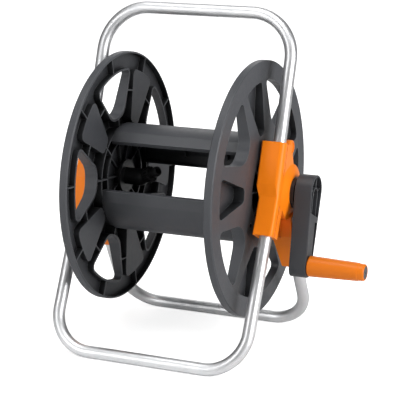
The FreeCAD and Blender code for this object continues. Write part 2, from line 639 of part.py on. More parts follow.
def crank_outline(inset, start, end):
    """Tapered arm: round over the shaft, narrower round below the grip."""
    top = CRANK_TOP_RADIUS - inset
    low = CRANK_END_RADIUS - inset
    span = CRANK_END + CRANK_TOP_RISE
    lean = math.asin((top - low) / span)
    cy, sy = math.cos(lean), math.sin(lean)
    high = V(start, 0, CRANK_TOP_RISE)
    deep = V(start, 0, -CRANK_END)
    a = high + V(0, top * cy, -top * sy)
    b = deep + V(0, low * cy, -low * sy)
    c = deep + V(0, -low * cy, -low * sy)
    d = high + V(0, -top * cy, -top * sy)
    wire = Part.Wire([
        Part.LineSegment(a, b).toShape(),
        Part.Arc(b, deep + V(0, 0, -low), c).toShape(),
        Part.LineSegment(c, d).toShape(),
        Part.Arc(d, high + V(0, 0, top), a).toShape(),
    ])
    return Part.Face(wire).extrude(V(end - start, 0, 0))


def arch(outer, inner, foot, start, end):
    """Thin rib bent over the hub like an upturned U."""
    legs = slab([(-outer, 0), (outer, 0), (outer, foot), (-outer, foot)], start, end)
    solid = legs.fuse(rod(outer, start, end))
    gap = slab([(-inner, 1), (inner, 1), (inner, foot - 1), (-inner, foot - 1)], start - 1, end + 1)
    gap = gap.fuse(slab([(-inner, -1), (inner, -1), (inner, 1), (-inner, 1)], start - 1, end + 1))
    return solid.cut(gap.fuse(rod(inner, start - 1, end + 1)))


def crank_arm():
    """Hollow moulding: ribbed recess over the shaft, closed face below, hub boss behind."""
    cover = CRANK_OUT - CRANK_WALL
    body = crank_outline(0.0, CRANK_IN, CRANK_OUT)
    body = body.makeFillet(1.2, [e for e in body.Edges if e.BoundBox.XMin > CRANK_OUT - 0.01])
    boss = rod(COLLAR_RADIUS - 2.0, HUB_FACE + COLLAR_WIDTH + 0.6, CRANK_IN + 1.0)
    body = body.fuse(boss).removeSplitter()

    above = slab([(-40, RECESS_FOOT + RECESS_SLANT), (40, RECESS_FOOT - RECESS_SLANT), (40, 60), (-40, 60)],
                 CRANK_IN + 4.0, CRANK_OUT + 1.0)
    recess = crank_outline(CRANK_WALL, CRANK_IN + 4.0, CRANK_OUT + 1.0).common(above)
    drive = rod(11.5, CRANK_IN, CRANK_OUT - CRANK_SEAT)
    ribs = [drive, arch(10.0, 8.2, RECESS_FOOT - 4.0, CRANK_IN + 3.0, CRANK_OUT - 1.5)]
    for angle, drop in ((90, 2.0), (25, 3.0), (155, 3.0)):
        ribs.append(radial_plate(angle, 9.5, 30.0, CRANK_IN + 3.0, CRANK_OUT - drop))
    recess = recess.cut(Part.makeCompound(ribs))

    below = slab([(-40, RECESS_FOOT - 5.0), (40, RECESS_FOOT - 12.0), (40, -140), (-40, -140)],
                 CRANK_IN - 1.0, CRANK_OUT)
    low_hollow = crank_outline(CRANK_WALL, CRANK_IN - 1.0, cover).common(below)
    over_channel = slab([(4.0, -140), (60, -140), (60, 0), (4.0, 0)],
                        cover - CHANNEL_DEPTH, CRANK_OUT)
    kept = [rod(9.0, CRANK_IN - 2.0, CRANK_OUT, 0.0, -CRANK_RADIUS), over_channel]
    for drop in (-52.0, -70.0, -88.0):
        kept.append(slab([(-30, drop), (30, drop), (30, drop + 2), (-30, drop + 2)],
                         CRANK_IN - 2.0, CRANK_OUT))
    low_hollow = low_hollow.cut(Part.makeCompound(kept))

    beside_edge = slab([(8.0, -95), (60, -95), (60, RECESS_FOOT - 13.0), (6.5, RECESS_FOOT - 9.0)],
                       CRANK_OUT - CHANNEL_DEPTH, CRANK_OUT + 1.0)
    channel = crank_outline(CHANNEL_RIM, CRANK_OUT - CHANNEL_DEPTH, CRANK_OUT + 1.0).common(beside_edge)
    for cut in (recess, low_hollow, channel,
                hexagon(CRANK_HEX + 2 * FIT, BRACKET_OUT, CRANK_IN + 12.1),
                rod(SHAFT_RADIUS + FIT, BRACKET_OUT, CRANK_IN), rod(2.1, CRANK_IN, CRANK_OUT + 1.0),
                rod(GRIP_PIN_RADIUS, CRANK_IN - 1.0, CRANK_OUT + 1.0, 0.0, -CRANK_RADIUS)):
        body = body.cut(cut)
    return crank_frame(body)


def crank_bolt():
    """Screw into the end of the shaft, with a washer under its head."""
    seat = CRANK_OUT - CRANK_SEAT
    return pan_screw(seat + 1.5, 22.0, 0.0, 0.0, head_radius=5.0, shank_radius=1.97, head=3.5)


def crank_washer():
    """Washer in the recess, under the bolt's head."""
    seat = CRANK_OUT - CRANK_SEAT
    return ring(7.0, 2.1, seat, seat + 1.5)


GRIP_SPOT = polar(CRANK_RADIUS, -90.0 - CRANK_TILT)


def grip_pin():
    """Spindle of the grip: head in the hollow of the arm, collar at the arm, snap head at the tip."""
    y, z = GRIP_SPOT.y, GRIP_SPOT.z
    tip = GRIP_END - 8.0
    return union([rod(7.0, CRANK_IN - 2.2, CRANK_IN, y, z), rod(GRIP_PIN_RADIUS, CRANK_IN - 1.0, tip, y, z),
                  rod(6.5, tip - 2.5, tip, y, z)])


def grip():
    """Hollow tapered handle with a step near its free end."""
    y, z = GRIP_SPOT.y, GRIP_SPOT.z
    step = GRIP_END - 10.0
    bore = GRIP_PIN_RADIUS + RUN
    seat = GRIP_END - 11.0
    outline = [(GRIP_START, bore), (GRIP_START, GRIP_BASE_RADIUS - 1.0), (GRIP_START + 1.0, GRIP_BASE_RADIUS),
               (GRIP_START + 30.0, GRIP_BASE_RADIUS - 0.9), (step, GRIP_TIP_RADIUS + 0.5),
               (step + 0.8, GRIP_TIP_RADIUS), (GRIP_END - 1.2, GRIP_TIP_RADIUS - 0.3),
               (GRIP_END, GRIP_TIP_RADIUS - 1.5), (GRIP_END, 9.0), (seat, 9.0), (seat, bore)]
    whole = lathe(outline)
    whole.translate(V(0, y, z))
    return whole


def grip_cap():
    """Disc pressed into the end of the grip."""
    y, z = GRIP_SPOT.y, GRIP_SPOT.z
    disc = rod(8.95, GRIP_END - 3.0, GRIP_END - 0.4, y, z)
    return disc.cut(rod(2.0, GRIP_END - 1.2, GRIP_END + 1.0, y, z))


# ---------------------------------------------------------------- water way on the left
def inlet_spindle():
    """Fixed hollow spindle: hose connector outside, bearing for the left flange and the elbow inside."""
    outline = [(-INLET_END, SPINDLE_BORE), (-INLET_END, 7.2),
               (-INLET_END + 1.0, 7.8), (-INLET_END + 4.0, 7.8),
               (-INLET_END + 4.0, 6.4), (-INLET_END + 6.6, 6.4), (-INLET_END + 6.6, 7.8),
               (-INLET_END + 12.0, 8.6), (-INLET_END + 14.0, 8.6), (-INLET_END + 15.5, 7.0),
               (-INLET_END + 21.0, 7.0), (-INLET_END + 22.5, 8.6), (-INLET_END + 24.0, 13.5),
               (-HUB_FACE - 3.0, 13.5), (-HUB_FACE - 3.0, 18.0), (-HUB_FACE, 18.0),
               (-HUB_FACE, BEARING_BORE), (-BRACKET_IN, BEARING_BORE), (-BRACKET_IN, SPINDLE_RADIUS),
               (SWIVEL_END - 9.0, SPINDLE_RADIUS), (SWIVEL_END - 9.0, 8.4), (SWIVEL_END - 6.4, 8.4),
               (SWIVEL_END - 6.4, SPINDLE_RADIUS), (SWIVEL_END, SPINDLE_RADIUS), (SWIVEL_END, SPINDLE_BORE)]
    return lathe(outline)


def inlet_seal():
    """Rubber ring in the groove of the hose connector."""
    return torus_ring(-INLET_END + 5.3, 7.15, 0.75)


def swivel_seal():
    """Rubber ring between the spindle and the turning elbow."""
    return torus_ring(SWIVEL_END - 7.7, 9.25, 0.75)


def torus_ring(centre, radius, section):
    """Ring of round section about the drum axis."""
    circle = Part.Face(Part.Wire([Part.makeCircle(section, V(centre, radius, 0), V(0, 0, 1))]))
    return circle.revolve(V(0, 0, 0), X_AXIS, 360)


def outlet_direction():
    """Unit direction in which the hose leaves the swivel."""
    lift = math.radians(OUTLET_LIFT)
    side = math.radians(OUTLET_SIDE)
    return V(math.cos(lift) * math.cos(side), -math.cos(lift) * math.sin(side), math.sin(lift))


def outlet_rod(radius, start, end):
    """Round bar along the outlet, measured from its start."""
    along = outlet_direction()
    return Part.makeCylinder(radius, end - start, OUTLET_START + along * start, along)


def outlet_elbow():
    """Turns with the drum: plate on the flange, sleeve round the spindle, slanted outlet."""
    plate = rod(SHAFT_PLATE, -INNER_PLANE, -INNER_PLANE + 4.0)
    plug = ring(HUB_BORE_RADIUS - FIT, SPINDLE_RADIUS + RUN, -DISH_PLANE, -INNER_PLANE + 1.0)
    sleeve_body = rod(SWIVEL_RADIUS, -INNER_PLANE + 3.0, -INNER_PLANE + 27.0)
    knuckle = Part.makeSphere(SWIVEL_RADIUS, V(-INNER_PLANE + 27.0, 0, 0))
    neck = outlet_rod(10.0, 0.0, 14.0)
    whole = union([plate, plug, sleeve_body, knuckle, neck])
    for cut in (rod(SPINDLE_RADIUS + RUN, -DISH_PLANE - 1, SWIVEL_END + 0.6),
                rod(SPINDLE_BORE, SWIVEL_END - 2.0, -INNER_PLANE + 31.0),
                outlet_rod(OUTLET_BORE, -1.0, 15.0)):
        whole = whole.cut(cut)
    return whole


def outlet_nut():
    """Ribbed collar that clamps the hose on the nipple."""
    collar = outlet_rod(12.0, 10.0, 18.0)
    for k in range(12):
        notch = Part.makeCylinder(1.6, 10.0, V(0, 0, 9.0), V(0, 0, 1))
        notch.translate(V(12.6 * math.cos(math.radians(30 * k)), 12.6 * math.sin(math.radians(30 * k)), 0))
        turn = FreeCAD.Rotation(V(0, 0, 1), outlet_direction())
        notch.Placement = FreeCAD.Placement(OUTLET_START, turn).multiply(notch.Placement)
        collar = collar.cut(notch)
    return collar.cut(outlet_rod(10.0 + FIT, 9.0, 15.2)).cut(outlet_rod(NIPPLE_RADIUS + FIT, 14.0, 19.0))


def outlet_nipple():
    """Grooved nipple that the hose is pushed on, with a plain land and a chamfer at its end."""
    outline = [(14.0, OUTLET_BORE), (14.0, 9.8), (15.1, 9.8), (15.1, NIPPLE_RADIUS)]
    for start in (18.6, 22.4):
        outline += [(start, NIPPLE_RADIUS), (start, NIPPLE_GROOVE),
                    (start + 1.4, NIPPLE_GROOVE), (start + 1.4, NIPPLE_RADIUS)]
    outline += [(NIPPLE_END - 1.5, NIPPLE_RADIUS), (NIPPLE_END, NIPPLE_RADIUS - 0.9),
                (NIPPLE_END, OUTLET_BORE)]
    nipple = lathe(outline)
    nipple.Placement = FreeCAD.Placement(OUTLET_START, FreeCAD.Rotation(X_AXIS, outlet_direction()))
    return nipple


# ---------------------------------------------------------------- the whole reel
def build():
    right_flange = flange()
    turnover = V(0, math.cos(math.radians(FLANGE_TURNOVER)), math.sin(math.radians(FLANGE_TURNOVER)))
    left_flange = right_flange.copy()
    left_flange.rotate(V(0, 0, 0), turnover, 180)
    shell_shape = shell()
    handle, front, rear = tubes()
    right_bracket = bracket()
    return {
        "handle_tube": handle,
        "front_foot_tube": front,
        "rear_foot_tube": rear,
        "right_bracket": right_bracket,
        "left_bracket": mirrored(right_bracket),
        "tube_screws": Part.makeCompound(tube_screws()),
        "right_bearing": bush(SHAFT_RADIUS + RUN),
        "inlet_spindle": inlet_spindle(),
        "inlet_seal": inlet_seal(),
        "swivel_seal": swivel_seal(),
        "right_flange": right_flange,
        "left_flange": left_flange,
        "upper_drum_shell": turned(shell_shape, SHELL_CENTRE),
        "lower_drum_shell": turned(shell_shape, SHELL_CENTRE + 180.0),
        "drum_screws": Part.makeCompound(drum_screws()),
        "crank_shaft": crank_shaft(),
        "crank_arm": crank_arm(),
        "crank_bolt": crank_bolt(),
        "crank_washer": crank_washer(),
        "grip_pin": grip_pin(),
        "crank_grip": grip(),
        "grip_cap": grip_cap(),
        "outlet_elbow": outlet_elbow(),
        "outlet_nut": outlet_nut(),
        "outlet_nipple": outlet_nipple(),
    }


def main():
    os.makedirs("parts", exist_ok=True)
    for name, shape in build().items():
        placed = shape.copy()
        placed.translate(V(X_SHIFT, 0, AXIS_HEIGHT))
        solids = placed.Solids
        final = solids[0] if len(solids) == 1 else Part.makeCompound(solids)
        final.exportStep("parts/" + name + ".step")
        print(name, len(solids), round(final.Volume / 1000.0, 1), final.isValid())


main()
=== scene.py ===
import json
import math

import bpy
import numpy as np
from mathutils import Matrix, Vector


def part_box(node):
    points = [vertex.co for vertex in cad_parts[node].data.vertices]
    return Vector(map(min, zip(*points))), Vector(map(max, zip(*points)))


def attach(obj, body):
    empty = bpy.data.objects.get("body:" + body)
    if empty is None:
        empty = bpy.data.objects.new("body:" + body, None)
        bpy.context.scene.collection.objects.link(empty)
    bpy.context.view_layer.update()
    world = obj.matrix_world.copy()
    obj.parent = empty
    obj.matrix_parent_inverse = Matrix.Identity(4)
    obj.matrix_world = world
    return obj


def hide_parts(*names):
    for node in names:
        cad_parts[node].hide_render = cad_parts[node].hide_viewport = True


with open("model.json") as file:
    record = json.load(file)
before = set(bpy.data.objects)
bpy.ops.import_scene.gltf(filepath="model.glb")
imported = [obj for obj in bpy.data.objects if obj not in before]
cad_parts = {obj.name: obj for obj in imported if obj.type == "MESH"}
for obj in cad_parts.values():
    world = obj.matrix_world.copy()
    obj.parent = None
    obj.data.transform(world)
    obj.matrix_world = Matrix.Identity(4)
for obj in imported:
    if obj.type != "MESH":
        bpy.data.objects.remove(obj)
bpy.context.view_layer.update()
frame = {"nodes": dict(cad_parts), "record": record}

bl_info = {
    "name": "Garden hose reel looks",
    "version": (1, 0, 0),
    "blender": (4, 5, 0),
    "location": "View3D > Sidebar > Hose reel",
    "description": "Drawn steel stand, moulded plastics, fine surfaces and a soft studio for a hose reel",
    "category": "Object",
}

# ------------------------------------------------------------------ places read from the frame, and settings
RIGHT_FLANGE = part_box("right_flange")
LEFT_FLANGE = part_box("left_flange")
AXIS_Y = (RIGHT_FLANGE[0].y + RIGHT_FLANGE[1].y) / 2
AXIS_Z = (RIGHT_FLANGE[0].z + RIGHT_FLANGE[1].z) / 2
MIDDLE_X = (RIGHT_FLANGE[0].x + LEFT_FLANGE[1].x) / 2
FINISH = "_finish"               # ends the name of each material made here
OWN_FINISH = {"crank_arm": "crank_plastic"}   # nodes whose finish isn't that of their record slot
TUBE_GAP = 0.006                 # from the knee to the end of each front tube
FLOOR_HALF = 30.0                # half the side of the floor
ROOM_LIGHT = 0.22                # strength of the surroundings as a light
SOFT_BOXES = (                   # name, place, size, power
    ("key_box", (2.6, -0.75, 1.2), (1.2, 1.5), 62),
    ("left_box", (-1.3, -2.4, 1.0), (1.0, 1.8), 22),
    ("top_box", (-0.1, -0.5, 2.5), (2.0, 1.4), 36),
    ("back_box", (-0.9, 2.4, 1.4), (1.6, 1.2), 10),
)


# ------------------------------------------------------------------ what a user would change
class ReelShape(bpy.types.PropertyGroup):
    tube_diameter: bpy.props.FloatProperty(
        name="Tube diameter", description="Outside of the stand's steel tube",
        default=0.018, min=0.01, max=0.03, unit="LENGTH", subtype="DISTANCE")
    tube_wall: bpy.props.FloatProperty(
        name="Tube wall", description="Thickness of the stand's steel tube",
        default=0.0015, min=0.0005, max=0.003, unit="LENGTH", subtype="DISTANCE")
    handle_bend: bpy.props.FloatProperty(
        name="Handle bend", description="Bend radius of the top bar's corners, at the tube's middle",
        default=0.066, min=0.03, max=0.1, unit="LENGTH", subtype="DISTANCE")
    foot_bend: bpy.props.FloatProperty(
        name="Foot bend", description="Bend radius of the floor bars' corners, at the tube's middle",
        default=0.058, min=0.03, max=0.1, unit="LENGTH", subtype="DISTANCE")
    knee: bpy.props.FloatProperty(
        name="Knee", description="How far in front of the drum axis the two front tubes meet",
        default=0.0414, min=0.02, max=0.06, unit="LENGTH", subtype="DISTANCE")
    rear_lean: bpy.props.FloatProperty(
        name="Rear lean", description="How far the rear legs lean off upright",
        default=math.radians(28.25), min=0.2, max=0.8, unit="ROTATION", subtype="ANGLE")
    rear_top: bpy.props.FloatProperty(
        name="Rear tube top", description="How far below the drum axis the rear tube ends",
        default=0.029, min=0.01, max=0.06, unit="LENGTH", subtype="DISTANCE")
    grip_taper: bpy.props.FloatProperty(
        name="Grip taper", description="Radius at the grip's tip over that at the crank",
        default=0.839, min=0.7, max=1.0)


class ReelFinish(bpy.types.PropertyGroup):
    orange: bpy.props.FloatVectorProperty(
        name="Orange", description="Side brackets", subtype="COLOR", size=3,
        default=(0.96, 0.228, 0.006), min=0, max=1)
    # the bracket orange darkened for the grip: painted shade that tones down the light falling on the grip
    grip_shaded_orange: bpy.props.FloatVectorProperty(
        name="Grip shaded orange", description="Crank grip", subtype="COLOR", size=3,
        default=(0.70, 0.166, 0.003), min=0, max=1)
    grey: bpy.props.FloatVectorProperty(
        name="Grey", description="Flanges and drum", subtype="COLOR", size=3,
        default=(0.060, 0.0625, 0.0695), min=0, max=1)
    crank_grey: bpy.props.FloatVectorProperty(
        name="Crank grey", description="Crank arm", subtype="COLOR", size=3,
        default=(0.040, 0.042, 0.047), min=0, max=1)
    black: bpy.props.FloatVectorProperty(
        name="Black", description="Bearings, shaft and water swivel", subtype="COLOR", size=3,
        default=(0.012, 0.012, 0.013), min=0, max=1)
    zinc: bpy.props.FloatVectorProperty(
        name="Zinc", description="Bright-plated steel tube", subtype="COLOR", size=3,
        default=(0.76, 0.765, 0.775), min=0, max=1)


class ReelStage(bpy.types.PropertyGroup):
    azimuth: bpy.props.FloatProperty(
        name="Azimuth", description="Camera's turn from the front towards the crank",
        default=math.radians(23.95), unit="ROTATION", subtype="ANGLE")
    elevation: bpy.props.FloatProperty(
        name="Elevation", description="Camera's height as an angle above the drum",
        default=math.radians(13.70), unit="ROTATION", subtype="ANGLE")
    distance: bpy.props.FloatProperty(
        name="Distance", description="Camera to the point that it aims at",
        default=2.2237, min=0.5, max=10, unit="LENGTH", subtype="DISTANCE")
    aim: bpy.props.FloatVectorProperty(
        name="Aim", description="Point that the camera aims at, from the middle of the drum", size=3,
        default=(-0.0083, -0.0004, -0.0240), subtype="XYZ", unit="LENGTH")
    lens: bpy.props.FloatProperty(
        name="Lens", description="Focal length on a 36 mm wide sensor", default=135.9, min=20, max=400)
    shift: bpy.props.FloatVectorProperty(
        name="Shift", description="Sideways and upward shift of the frame", size=2,
        default=(0.04325, -0.00725), subtype="XYZ")


# ------------------------------------------------------------------ mesh making
def grid_object(name, points, wrap_rows, wrap_columns, uv=None):
    """Mesh of a grid of points: rows by columns of quads, joined end to end where it wraps.

    Quad (i, j) joins points (i, j), (i + 1, j), (i + 1, j + 1) and (i, j + 1). If the closed
    surface's signed volume, a sixth of the sum of a . (b x c) over its triangles, is negative,
    the quads are turned round so that they face outwards.
    """
    rows, columns = points.shape[:2]
    i = np.arange(rows if wrap_rows else rows - 1)[:, None]
    j = np.arange(columns if wrap_columns else columns - 1)[None, :]
    i, j = np.broadcast_arrays(i, j)
    up, along = (i + 1) % rows, (j + 1) % columns
    quads = np.stack([i * columns + j, up * columns + j, up * columns + along, i * columns + along], -1)
    corners = None
    if uv is not None:
        full = np.stack([uv(i, j), uv(i + 1, j), uv(i + 1, j + 1), uv(i, j + 1)], -2)
        corners = full.reshape(-1, 4, 2)
    quads = quads.reshape(-1, 4)
    flat = points.reshape(-1, 3)
    a, b, c, d = (flat[quads[:, k]] - flat.mean(0) for k in range(4))
    volume = (np.einsum("ij,ij->i", a, np.cross(b, c)) + np.einsum("ij,ij->i", a, np.cross(c, d))).sum()
    if volume < 0:
        quads = quads[:, ::-1]
        corners = None if corners is None else corners[:, ::-1]
    mesh = bpy.data.meshes.new(name)
    mesh.vertices.add(len(flat))
    mesh.vertices.foreach_set("co", flat.astype(np.float32).ravel())
    mesh.loops.add(quads.size)
    mesh.loops.foreach_set("vertex_index", quads.astype(np.int32).ravel())
    mesh.polygons.add(len(quads))
    mesh.polygons.foreach_set("loop_start", np.arange(0, quads.size, 4, dtype=np.int32))
    if corners is not None:
        layer = mesh.uv_layers.new(name="run")
        layer.uv.foreach_set("vector", corners.astype(np.float32).ravel())
    mesh.update(calc_edges=True)
    mesh.validate()
    mesh.polygons.foreach_set("use_smooth", np.ones(len(mesh.polygons), bool))
    piece = bpy.data.objects.new(name, mesh)
    bpy.context.scene.collection.objects.link(piece)
    return piece


def lathe_points(profile, centre, sides):
    """Profile of (x, radius) turned about a line along X: (x, cy + r cos t, cz + r sin t)."""
    turn = np.linspace(0, 2 * math.pi, sides, endpoint=False)
    x = np.broadcast_to(profile[:, :1], (len(profile), sides))
    return np.stack([centre.x + x, centre.y + profile[:, 1:] * np.cos(turn),
                     centre.z + profile[:, 1:] * np.sin(turn)], -1)


def rounded(points, radius, steps=6):
    """Closed outline with each corner replaced by a quadratic curve that starts radius before it.

    A corner p between a and b becomes (1 - t)^2 a' + 2 t (1 - t) p + t^2 b', where a' and b' lie
    on its two sides at the given distance, or at 0.45 of a shorter side.
    """
    points = np.asarray(points, float)
    before = np.roll(points, 1, 0) - points
    after = np.roll(points, -1, 0) - points
    reach_b = np.minimum(radius, 0.45 * np.linalg.norm(before, axis=1))[:, None]
    reach_a = np.minimum(radius, 0.45 * np.linalg.norm(after, axis=1))[:, None]
    start = points + before / np.linalg.norm(before, axis=1)[:, None] * reach_b
    end = points + after / np.linalg.norm(after, axis=1)[:, None] * reach_a
    t = np.linspace(0, 1, steps)[None, :, None]
    curve = (1 - t) ** 2 * start[:, None] + 2 * t * (1 - t) * points[:, None] + t ** 2 * end[:, None]
    return curve.reshape(-1, 2)


# ------------------------------------------------------------------ shader groups
def group_sockets(name, inputs, outputs):
    """New shader node group with float or colour sockets; returns it with its two end nodes."""
    tree = bpy.data.node_groups.new(name, "ShaderNodeTree")
    for label, kind, value in inputs:
        socket = tree.interface.new_socket(name=label, in_out="INPUT", socket_type=kind)
        if value is not None:
            socket.default_value = value
    for label, kind in outputs:
        tree.interface.new_socket(name=label, in_out="OUTPUT", socket_type=kind)
    return tree, tree.nodes.new("NodeGroupInput"), tree.nodes.new("NodeGroupOutput")


def node(tree, kind, **values):
    """Add a node; capitalised words set sockets, the others set the node's own options."""
    made = tree.nodes.new(kind)
    for key, value in values.items():
        if key[0].isupper():
            made.inputs[key.replace("_", " ")].default_value = value
        else:
            setattr(made, key, value)
    return made


def math_node(tree, operation, first, second, clamp=False):
    """Math node's result; each value is a socket or a number."""
    made = node(tree, "ShaderNodeMath", operation=operation, use_clamp=clamp)
    for k, value in enumerate((first, second)):
        if isinstance(value, bpy.types.NodeSocket):
            tree.links.new(value, made.inputs[k])
        else:
            made.inputs[k].default_value = value
    return made.outputs[0]


def mix_colour(tree, factor, first, second, blend="MIX"):
    """Colour mix node's result; the factor and the two colours are sockets or plain values."""
    made = node(tree, "ShaderNodeMix", data_type="RGBA", blend_type=blend)
    for socket, value in ((made.inputs[0], factor), (made.inputs[6], first), (made.inputs[7], second)):
        if isinstance(value, bpy.types.NodeSocket):
            tree.links.new(value, socket)
        else:
            socket.default_value = value
    return made.outputs[2]


def build_moulded_group():
    """Injection-moulded plastic: spark-eroded grain, slow flow marks, burnished and softened edges, and
    painted shade that darkens the colour in recesses and gaps between parts.
    """
    tree, start, end = group_sockets("moulded_surface", [
        ("Colour", "NodeSocketColor", (0.1, 0.1, 0.1, 1)),
        ("Edge Colour", "NodeSocketColor", (0.3, 0.3, 0.3, 1)),
        ("Grain", "NodeSocketFloat", 1200.0), ("Grain Depth", "NodeSocketFloat", 0.2),
        ("Roughness", "NodeSocketFloat", 0.45), ("Edge Radius", "NodeSocketFloat", 0.0008),
        ("Edge Wear", "NodeSocketFloat", 0.5), ("Painted Shade Reach", "NodeSocketFloat", 0.02),
        ("Painted Recess Shade", "NodeSocketFloat", 0.5)],
        [("Colour", "NodeSocketColor"), ("Roughness", "NodeSocketFloat"), ("Normal", "NodeSocketVector")])
    link = tree.links.new
    where = node(tree, "ShaderNodeTexCoord")
    grain = node(tree, "ShaderNodeTexNoise", Detail=3.0, Roughness=0.6)
    link(where.outputs["Object"], grain.inputs["Vector"])
    link(start.outputs["Grain"], grain.inputs["Scale"])
    flow = node(tree, "ShaderNodeTexNoise", Scale=14.0, Detail=4.0, Roughness=0.55, Distortion=0.6)
    link(where.outputs["Object"], flow.inputs["Vector"])
    scuff = node(tree, "ShaderNodeTexNoise", Scale=160.0, Detail=5.0, Roughness=0.7)
    link(where.outputs["Object"], scuff.inputs["Vector"])
    soft = node(tree, "ShaderNodeBevel", samples=6)
    link(start.outputs["Edge Radius"], soft.inputs["Radius"])
    plain = node(tree, "ShaderNodeNewGeometry")
    facing = node(tree, "ShaderNodeVectorMath", operation="DOT_PRODUCT")
    link(soft.outputs[0], facing.inputs[0])
    link(plain.outputs["Normal"], facing.inputs[1])
    bend = math_node(tree, "SUBTRACT", 1.0, facing.outputs["Value"], clamp=True)
    edge = math_node(tree, "MULTIPLY", bend, 5.0, clamp=True)
    broken = math_node(tree, "MULTIPLY", edge, scuff.outputs["Fac"], clamp=True)
    worn = math_node(tree, "MULTIPLY", broken, start.outputs["Edge Wear"], clamp=True)
    shade = node(tree, "ShaderNodeMapRange", To_Min=0.90, To_Max=1.10)
    link(flow.outputs["Fac"], shade.inputs["Value"])
    toned = mix_colour(tree, 1.0, start.outputs["Colour"], shade.outputs["Result"], "MULTIPLY")
    # painted shade: ambient occlusion darkens the colour towards near black in recesses, channels and gaps
    # between parts
    painted_shade_occlusion = node(tree, "ShaderNodeAmbientOcclusion", samples=6)
    link(start.outputs["Painted Shade Reach"], painted_shade_occlusion.inputs["Distance"])
    painted_shade_amount = node(tree, "ShaderNodeMapRange", From_Min=0.92, From_Max=0.30)
    link(painted_shade_occlusion.outputs["AO"], painted_shade_amount.inputs["Value"])
    painted_shade_strength = math_node(tree, "MULTIPLY", painted_shade_amount.outputs["Result"], start.outputs["Painted Recess Shade"], clamp=True)
    colour_with_painted_shade = mix_colour(tree, painted_shade_strength, toned, (0.002, 0.002, 0.002, 1))
    link(mix_colour(tree, worn, colour_with_painted_shade, start.outputs["Edge Colour"]), end.inputs["Colour"])
    uneven = math_node(tree, "MULTIPLY", math_node(tree, "SUBTRACT", scuff.outputs["Fac"], 0.5), 0.22)
    slow = math_node(tree, "MULTIPLY", math_node(tree, "SUBTRACT", flow.outputs["Fac"], 0.5), 0.20)
    link(math_node(tree, "ADD", math_node(tree, "ADD", start.outputs["Roughness"], uneven), slow, clamp=True),
         end.inputs["Roughness"])
    bump = node(tree, "ShaderNodeBump", Distance=0.00012)
    link(start.outputs["Grain Depth"], bump.inputs["Strength"])
    link(grain.outputs["Fac"], bump.inputs["Height"])
    link(soft.outputs[0], bump.inputs["Normal"])
    link(bump.outputs[0], end.inputs["Normal"])
    return tree


def build_metal_group():
    """Plated steel: drawing lines along the run and cloudy plating."""
    tree, start, end = group_sockets("plated_surface", [
        ("Colour", "NodeSocketColor", (0.7, 0.7, 0.7, 1)),
        ("Cloud Colour", "NodeSocketColor", (0.5, 0.5, 0.5, 1)),
        ("Roughness", "NodeSocketFloat", 0.25), ("Lines", "NodeSocketFloat", 0.1),
        ("Pattern", "NodeSocketVector", None)],
        [("Colour", "NodeSocketColor"), ("Roughness", "NodeSocketFloat"), ("Normal", "NodeSocketVector")])
    link = tree.links.new
    drawn = node(tree, "ShaderNodeTexNoise", Scale=1.0, Detail=5.0, Roughness=0.65)
    link(start.outputs["Pattern"], drawn.inputs["Vector"])
    where = node(tree, "ShaderNodeTexCoord")
    cloud = node(tree, "ShaderNodeTexNoise", Scale=38.0, Detail=6.0, Roughness=0.62, Distortion=0.4)
    link(where.outputs["Object"], cloud.inputs["Vector"])
    amount = node(tree, "ShaderNodeMapRange", From_Min=0.42, From_Max=0.72, To_Min=0.0, To_Max=0.55)
    link(cloud.outputs["Fac"], amount.inputs["Value"])
    link(mix_colour(tree, amount.outputs["Result"], start.outputs["Colour"], start.outputs["Cloud Colour"]),
         end.inputs["Colour"])
    from_lines = math_node(tree, "MULTIPLY", math_node(tree, "SUBTRACT", drawn.outputs["Fac"], 0.5), 0.16)
    from_cloud = math_node(tree, "MULTIPLY", amount.outputs["Result"], 0.18)
    link(math_node(tree, "ADD", math_node(tree, "ADD", start.outputs["Roughness"], from_lines), from_cloud,
                   clamp=True), end.inputs["Roughness"])
    bump = node(tree, "ShaderNodeBump", Distance=0.00005)
    link(start.outputs["Lines"], bump.inputs["Strength"])
    link(drawn.outputs["Fac"], bump.inputs["Height"])
    link(bump.outputs[0], end.inputs["Normal"])
    return tree


def grouped_material(name, group, values, shader_values):
    """Material of one surface group and a Principled shader, with its plain values on the shader."""
    material = bpy.data.materials.new(name + FINISH)
    material.use_nodes = True
    tree = material.node_tree
    shader = tree.nodes["Principled BSDF"]
    surface = tree.nodes.new("ShaderNodeGroup")
    surface.node_tree = group
    for key, value in values.items():
        surface.inputs[key].default_value = value
    for key, value in shader_values.items():
        shader.inputs[key].default_value = value
    tree.links.new(surface.outputs["Colour"], shader.inputs["Base Color"])
    tree.links.new(surface.outputs["Roughness"], shader.inputs["Roughness"])
    tree.links.new(surface.outputs["Normal"], shader.inputs["Normal"])
    return material, tree, surface


def opaque(colour):
    """Colour with full alpha."""
    return (*colour, 1.0)


